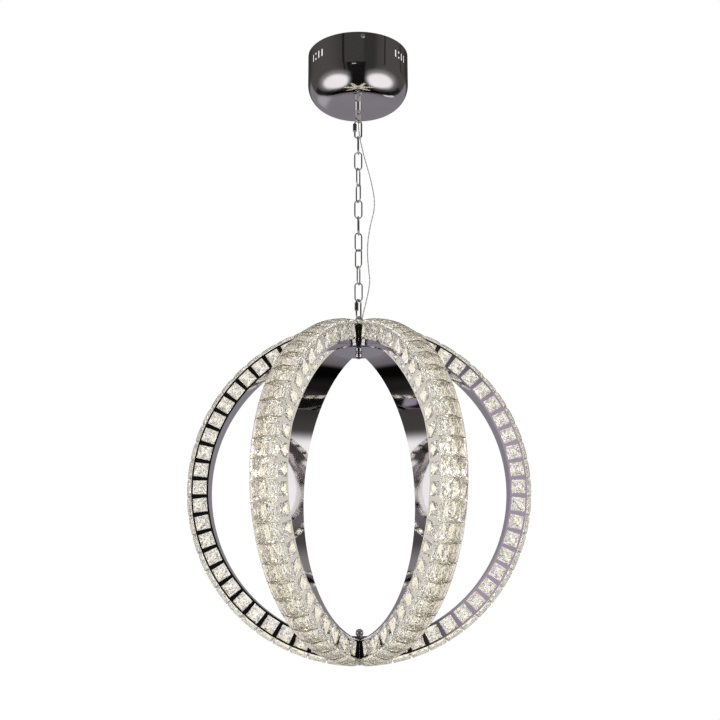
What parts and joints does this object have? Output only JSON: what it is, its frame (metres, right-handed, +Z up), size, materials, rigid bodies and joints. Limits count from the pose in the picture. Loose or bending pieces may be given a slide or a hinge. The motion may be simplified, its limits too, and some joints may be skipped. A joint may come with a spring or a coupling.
{
  "type": "pendant chandelier",
  "caption": "Hanging orb of six crystal-set steel arcs on a chain under a round canopy, lit from inside the arcs.",
  "frame": {"origin": "on the ceiling, where the lamp's vertical axis meets it, between the two ceiling screws", "axes": "+Z up, towards the ceiling; -Y towards the viewer; one ring of the orb lies in the XZ plane"},
  "size_m": [0.61, 0.5434, 1.1491],
  "materials": {
    "dark_mirror_steel": "mirror polished, slightly dark",
    "zinc_steel": "satin zinc plate",
    "lit_crystal": "cut and polished, lit from behind",
    "led_strip": "white strip with warm white chips",
    "driver_case": "matt moulded",
    "terminal_plastic": "matt moulded",
    "lead_jacket": "smooth",
    "clear_cord_jacket": "clear jacket over silvery wires",
    "grommet_rubber": "smooth black"
  },
  "bodies": {
    "canopy": {"ceiling_bracket": "zinc_steel", "canopy_cup": "dark_mirror_steel", "canopy_side_screws": "zinc_steel", "led_driver": "driver_case", "driver_screws": "zinc_steel", "terminal_block": "terminal_plastic", "driver_leads": "lead_jacket", "canopy_loop": "dark_mirror_steel", "loop_washer": "zinc_steel", "loop_nut": "zinc_steel", "canopy_grommet": "grommet_rubber", "light_cord": "clear_cord_jacket"},
    "top_quick_link": {"top_quick_link": "dark_mirror_steel"},
    "top_sleeve_nut": {"top_quick_link_nut": "dark_mirror_steel"},
    "link_01": {"chain_link_01": "dark_mirror_steel"},
    "link_02": {"chain_link_02": "dark_mirror_steel"},
    "link_03": {"chain_link_03": "dark_mirror_steel"},
    "link_04": {"chain_link_04": "dark_mirror_steel"},
    "link_05": {"chain_link_05": "dark_mirror_steel"},
    "link_06": {"chain_link_06": "dark_mirror_steel"},
    "link_07": {"chain_link_07": "dark_mirror_steel"},
    "link_08": {"chain_link_08": "dark_mirror_steel"},
    "link_09": {"chain_link_09": "dark_mirror_steel"},
    "link_10": {"chain_link_10": "dark_mirror_steel"},
    "bottom_quick_link": {"bottom_quick_link": "dark_mirror_steel"},
    "bottom_sleeve_nut": {"bottom_quick_link_nut": "dark_mirror_steel"},
    "orb": {"orb_eyelet": "dark_mirror_steel", "orb_grommet": "grommet_rubber", "top_outer_disc": "dark_mirror_steel", "top_hub_tube": "dark_mirror_steel", "top_hub_collar": "dark_mirror_steel", "top_inner_disc": "dark_mirror_steel", "top_inner_ball": "dark_mirror_steel", "bottom_outer_disc": "dark_mirror_steel", "bottom_hub_tube": "dark_mirror_steel", "bottom_hub_collar": "dark_mirror_steel", "bottom_inner_disc": "dark_mirror_steel", "bottom_inner_ball": "dark_mirror_steel", "bottom_stud": "zinc_steel", "bottom_outer_ball": "dark_mirror_steel", "led_strips": "led_strip", "arc_1_frame": "dark_mirror_steel", "arc_1_outer_crystals": "lit_crystal", "arc_1_side_crystals": "lit_crystal", "arc_2_frame": "dark_mirror_steel", "arc_2_outer_crystals": "lit_crystal", "arc_2_side_crystals": "lit_crystal", "arc_3_frame": "dark_mirror_steel", "arc_3_outer_crystals": "lit_crystal", "arc_3_side_crystals": "lit_crystal", "arc_4_frame": "dark_mirror_steel", "arc_4_outer_crystals": "lit_crystal", "arc_4_side_crystals": "lit_crystal", "arc_5_frame": "dark_mirror_steel", "arc_5_outer_crystals": "lit_crystal", "arc_5_side_crystals": "lit_crystal", "arc_6_frame": "dark_mirror_steel", "arc_6_outer_crystals": "lit_crystal", "arc_6_side_crystals": "lit_crystal"}
  },
  "joints": [
    {"name": "canopy_loop_swing", "type": "hinge", "parent": "canopy", "child": "top_quick_link", "pos_m": [0, 0, -0.1378], "axis": [0.5736, 0.8192, 0], "range_deg": [-25, 25], "deforming": ["light_cord"]},
    {"name": "top_quick_link_swing", "type": "hinge", "parent": "top_quick_link", "child": "link_01", "pos_m": [0, 0, -0.1712], "axis": [-1, 0, 0], "range_deg": [-30, 30]},
    {"name": "link_01_swing", "type": "hinge", "parent": "link_01", "child": "link_02", "pos_m": [0, 0, -0.2036], "axis": [-0.0872, -0.9962, 0], "range_deg": [-30, 30]},
    {"name": "link_02_swing", "type": "hinge", "parent": "link_02", "child": "link_03", "pos_m": [0, 0, -0.2363], "axis": [1, 0, 0], "range_deg": [-30, 30]},
    {"name": "link_03_swing", "type": "hinge", "parent": "link_03", "child": "link_04", "pos_m": [0, 0, -0.269], "axis": [-0.4384, -0.8988, 0], "range_deg": [-30, 30]},
    {"name": "link_04_swing", "type": "hinge", "parent": "link_04", "child": "link_05", "pos_m": [0, 0, -0.3017], "axis": [-0.5592, 0.829, 0], "range_deg": [-30, 30]},
    {"name": "link_05_swing", "type": "hinge", "parent": "link_05", "child": "link_06", "pos_m": [0, 0, -0.3344], "axis": [1, 0, 0], "range_deg": [-30, 30]},
    {"name": "link_06_swing", "type": "hinge", "parent": "link_06", "child": "link_07", "pos_m": [0, 0, -0.3671], "axis": [0.1219, 0.9925, 0], "range_deg": [-30, 30]},
    {"name": "link_07_swing", "type": "hinge", "parent": "link_07", "child": "link_08", "pos_m": [0, 0, -0.3998], "axis": [-0.9205, -0.3907, 0], "range_deg": [-30, 30]},
    {"name": "link_08_swing", "type": "hinge", "parent": "link_08", "child": "link_09", "pos_m": [0, 0, -0.4325], "axis": [0.848, -0.5299, 0], "range_deg": [-30, 30]},
    {"name": "link_09_swing", "type": "hinge", "parent": "link_09", "child": "link_10", "pos_m": [0, 0, -0.4652], "axis": [0.3584, 0.9336, 0], "range_deg": [-30, 30]},
    {"name": "link_10_swing", "type": "hinge", "parent": "link_10", "child": "bottom_quick_link", "pos_m": [0, 0, -0.4979], "axis": [-1, 0, 0], "range_deg": [-20, 20]},
    {"name": "bottom_quick_link_swing", "type": "hinge", "parent": "bottom_quick_link", "child": "orb", "pos_m": [0, 0, -0.5315], "axis": [-0.6157, -0.788, 0], "range_deg": [-30, 30]},
    {"name": "top_sleeve_nut_travel", "type": "slide", "parent": "top_quick_link", "child": "top_sleeve_nut", "axis": [0, 0, 1], "range_m": [-0.0076, 0]},
    {"name": "bottom_sleeve_nut_travel", "type": "slide", "parent": "bottom_quick_link", "child": "bottom_sleeve_nut", "axis": [0, 0, 1], "range_m": [-0.0076, 0]}
  ]
}
